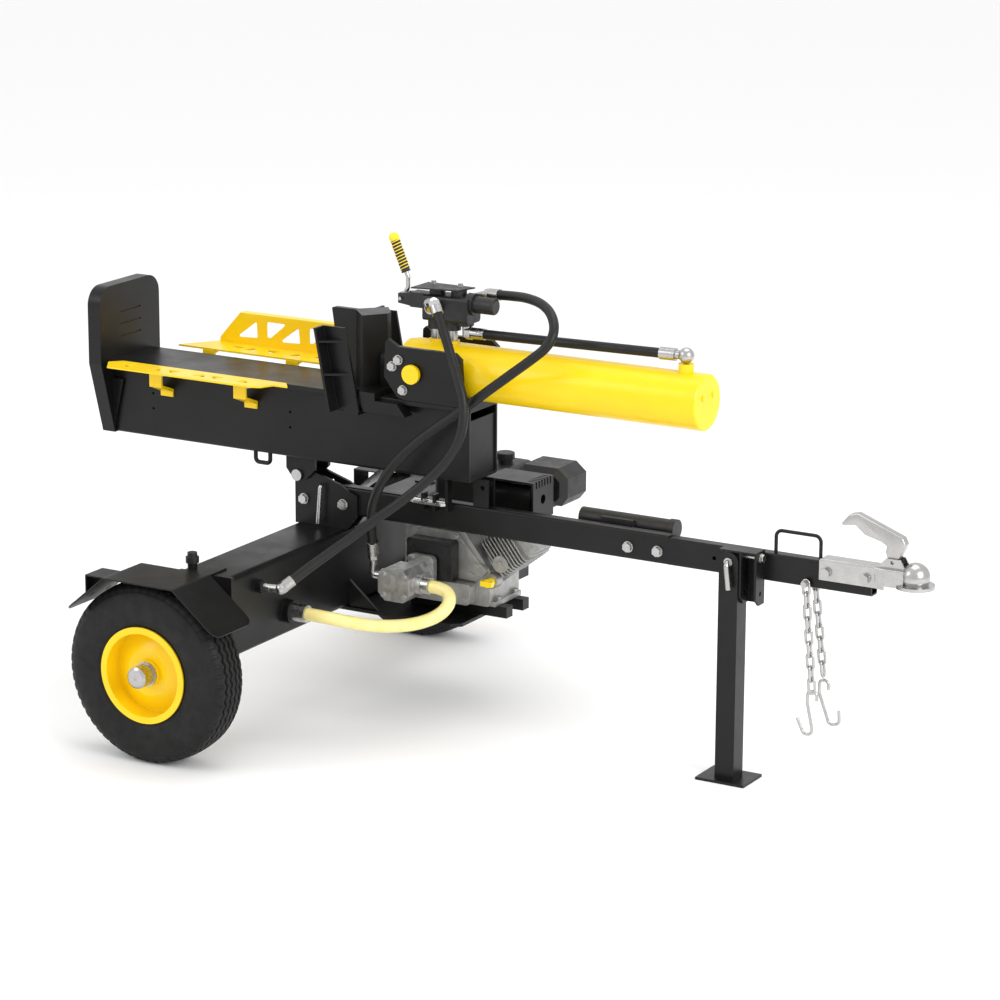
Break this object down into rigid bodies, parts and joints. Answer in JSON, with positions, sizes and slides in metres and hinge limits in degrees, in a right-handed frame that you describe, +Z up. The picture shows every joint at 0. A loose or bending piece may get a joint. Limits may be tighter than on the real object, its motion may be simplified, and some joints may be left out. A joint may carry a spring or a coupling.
{
  "type": "towable log splitter",
  "caption": "Towable petrol hydraulic log splitter with tilting beam, wedge ram, tank axle, two wheels, jack leg and ball coupler.",
  "frame": {"origin": "on the ground under the middle of the machine's outline", "axes": "+X along the tongue towards the hitch, +Y to the left side seen in that direction, +Z up"},
  "size_m": [2.101, 1.31, 1.124],
  "materials": {
    "black_paint": "semi-gloss black powder coat",
    "yellow_paint": "gloss yellow paint",
    "tyre_rubber": "ribbed tyre rubber",
    "hose_rubber": "smooth black hose",
    "clear_hose": "translucent pale yellow hose",
    "grip_rubber": "moulded grip",
    "zinc": "bright zinc plate",
    "chrome_rod": "hard chrome",
    "cast_black": "painted casting",
    "cast_alloy": "bare die casting",
    "black_plastic": "textured moulding",
    "yellow_plastic": "gloss moulding"
  },
  "bodies": {
    "frame": {"reservoir_tube": "black_paint", "axle_end_plates": "black_paint", "fenders": "black_paint", "fender_brackets": "black_paint", "tower_plates": "black_paint", "hinge_pin": "zinc", "tongue_rear": "black_paint", "tongue_front": "black_paint", "coupler_body": "zinc", "jack_bracket": "black_paint", "frame_bolts": "zinc", "beam_cradle": "black_paint", "engine_plate": "black_paint", "crankcase": "cast_alloy", "cylinder_head": "cast_alloy", "blower_housing": "black_plastic", "muffler_guard": "black_paint", "air_cleaner": "black_plastic", "fuel_tank": "black_plastic", "pump_adapter": "cast_black", "pump_body": "cast_alloy", "hose_return": "hose_rubber", "hose_pressure": "hose_rubber", "hose_suction": "clear_hose", "hose_fittings": "zinc", "document_tube": "black_plastic"},
    "filler": {"filler_cap": "black_plastic"},
    "fuel_filler": {"fuel_cap": "black_plastic"},
    "oil_plug": {"dipstick": "yellow_plastic"},
    "starter_grip": {"recoil_handle": "black_plastic"},
    "beam": {"beam_box": "black_paint", "beam_flange": "black_paint", "foot_plate": "black_paint", "strippers": "black_paint", "tray_near": "yellow_paint", "tray_far": "yellow_paint", "cheek_plates": "black_paint", "cylinder_barrel": "yellow_paint", "cylinder_gland": "yellow_paint", "valve_body": "cast_black", "valve_fittings": "zinc", "hose_cylinder": "hose_rubber", "beam_bolts": "zinc"},
    "ram": {"wedge": "black_paint", "piston_rod": "chrome_rod"},
    "control_lever": {"valve_lever": "zinc", "lever_grip": "grip_rubber"},
    "wheel_near": {"tyre_near": "tyre_rubber", "rim_near": "yellow_paint", "hub_cap_near": "zinc"},
    "wheel_far": {"tyre_far": "tyre_rubber", "rim_far": "yellow_paint", "hub_cap_far": "zinc"},
    "jack": {"jack_leg": "black_paint"},
    "jack_lock": {"jack_pin": "zinc"},
    "beam_latch": {"beam_latch_pin": "zinc"},
    "upright_lock": {"upright_lock_pin": "zinc"},
    "hitch_latch": {"coupler_latch": "zinc"},
    "chain_a": {"chain_near": "zinc"},
    "chain_b": {"chain_far": "zinc"}
  },
  "joints": [
    {"name": "beam_tilt", "type": "hinge", "parent": "frame", "child": "beam", "pos_m": [-0.526, 0, 0.539], "axis": [0, -1, 0], "range_deg": [0, 90], "deforming": ["hose_return", "hose_pressure"]},
    {"name": "ram_slide", "type": "slide", "parent": "beam", "child": "ram", "axis": [-1, 0, 0], "range_m": [0, 0.555]},
    {"name": "lever_tilt", "type": "hinge", "parent": "beam", "child": "control_lever", "pos_m": [-0.257, 0, 0.979], "axis": [0, 1, 0], "range_deg": [-18, 18], "stiffness_Nm_per_rad": 4},
    {"name": "wheel_spin_near", "type": "hinge", "parent": "frame", "child": "wheel_near", "pos_m": [-0.555, -0.569, 0.207], "axis": [0, 1, 0], "continuous": true},
    {"name": "wheel_spin_far", "type": "hinge", "parent": "frame", "child": "wheel_far", "pos_m": [-0.555, 0.569, 0.207], "axis": [0, 1, 0], "continuous": true},
    {"name": "jack_swing", "type": "hinge", "parent": "frame", "child": "jack", "pos_m": [0.5968, -0.0389, 0.4975], "axis": [0, 1, 0], "range_deg": [0, 75]},
    {"name": "jack_pin_pull", "type": "slide", "parent": "frame", "child": "jack_lock", "axis": [0, -1, 0], "range_m": [0, 0.06]},
    {"name": "beam_latch_slide", "type": "slide", "parent": "frame", "child": "beam_latch", "axis": [1, 0, 0], "range_m": [0, 0.018]},
    {"name": "upright_lock_pull", "type": "slide", "parent": "frame", "child": "upright_lock", "axis": [0, -1, 0], "range_m": [0, 0.04]},
    {"name": "hitch_latch_lift", "type": "hinge", "parent": "frame", "child": "hitch_latch", "pos_m": [0.959, 0, 0.537], "axis": [0, 1, 0], "range_deg": [0, 60]},
    {"name": "chain_swing_near", "type": "hinge", "parent": "frame", "child": "chain_a", "pos_m": [0.7636, -0.023, 0.465], "axis": [0, 1, 0], "range_deg": [-25, 25]},
    {"name": "chain_swing_far", "type": "hinge", "parent": "frame", "child": "chain_b", "pos_m": [0.7636, 0.023, 0.465], "axis": [0, 1, 0], "range_deg": [-25, 25]},
    {"name": "filler_cap_lift", "type": "slide", "parent": "frame", "child": "filler", "axis": [0, 0, 1], "range_m": [0, 0.06]},
    {"name": "fuel_cap_lift", "type": "slide", "parent": "frame", "child": "fuel_filler", "axis": [0, 0, 1], "range_m": [0, 0.03]},
    {"name": "dipstick_pull", "type": "slide", "parent": "frame", "child": "oil_plug", "axis": [0, -1, 0], "range_m": [0, 0.05]},
    {"name": "starter_pull", "type": "slide", "parent": "frame", "child": "starter_grip", "axis": [0, 1, 0], "range_m": [0, 0.3], "stiffness_N_per_m": 4}
  ]
}
